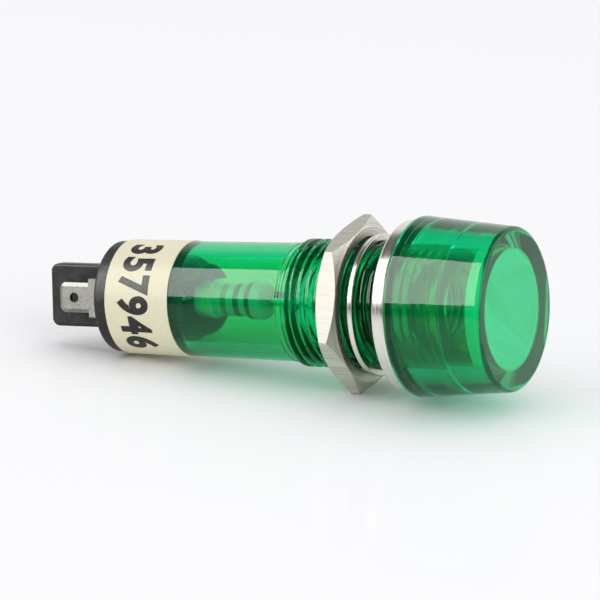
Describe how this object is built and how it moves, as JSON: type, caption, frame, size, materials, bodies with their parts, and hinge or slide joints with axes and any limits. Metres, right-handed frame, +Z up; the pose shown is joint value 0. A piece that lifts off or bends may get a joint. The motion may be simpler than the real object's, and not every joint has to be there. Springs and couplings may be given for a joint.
{
  "type": "panel pilot light",
  "caption": "Round panel pilot light with a tapered green lens cap, a threaded clear green shank with hex nut and washer, and blade terminals at the rear.",
  "frame": {"origin": "on the lamp's axis, in the plane of the panel seat (the back face of the bezel ring)", "axes": "+X along the axis from the terminals to the lens, +Z up and square to it, the barrier plate in the XZ plane with one terminal on each side of it along Y"},
  "size_m": [0.04, 0.0138, 0.0138],
  "materials": {
    "shell_green": "clear green moulded polycarbonate, glossy",
    "cap_green": "clear green moulded polycarbonate, glossy",
    "diffuser_milky": "milky diffusing sheet, satin",
    "bezel_plated": "bright plated ring, polished",
    "washer_polished": "bright plated washer, polished",
    "nut_nickel": "nickel plated, fine machining marks",
    "label_paper": "cream printed film, matte",
    "base_black": "black moulded plastic, satin",
    "terminal_tinned": "tinned strip, coined edges",
    "lamp_glass": "clear glass tube",
    "electrode_nickel": "nickel rod, dull",
    "lead_wire": "tinned wire",
    "sleeve_dark": "dark insulating sleeve",
    "resistor_coat": "coated ceramic body with colour rings",
    "solder": "solder, satin"
  },
  "bodies": {
    "lamp": {"body_shell": "shell_green", "bezel_ring": "bezel_plated", "lens_cap": "cap_green", "diffuser_disc": "diffuser_milky", "label_sleeve": "label_paper", "rear_base": "base_black", "terminal_blade_1": "terminal_tinned", "terminal_blade_2": "terminal_tinned", "lamp_glass": "lamp_glass", "lamp_electrode_1": "electrode_nickel", "lamp_electrode_2": "electrode_nickel", "lamp_lead_1": "lead_wire", "lamp_lead_2": "lead_wire", "lead_sleeve": "sleeve_dark", "resistor": "resistor_coat", "resistor_lead_front": "lead_wire", "resistor_lead_rear": "lead_wire", "solder_splice": "solder", "solder_terminal_1": "solder", "solder_terminal_2": "solder"},
    "washer": {"flat_washer": "washer_polished"},
    "nut": {"hex_nut": "nut_nickel"}
  },
  "joints": [
    {"name": "nut_travel", "type": "slide", "parent": "lamp", "child": "washer", "axis": [1, 0, 0], "range_m": [-0.0032, 0.0021]},
    {"name": "nut_turn", "type": "hinge", "parent": "washer", "child": "nut", "pos_m": [-0.00417, 0, 0], "axis": [1, 0, 0], "range_deg": [-1540, 1012]}
  ],
  "couplings": [
    {"joint": "nut_turn", "follows": "nut_travel", "rad_per_m": 8377.6}
  ]
}
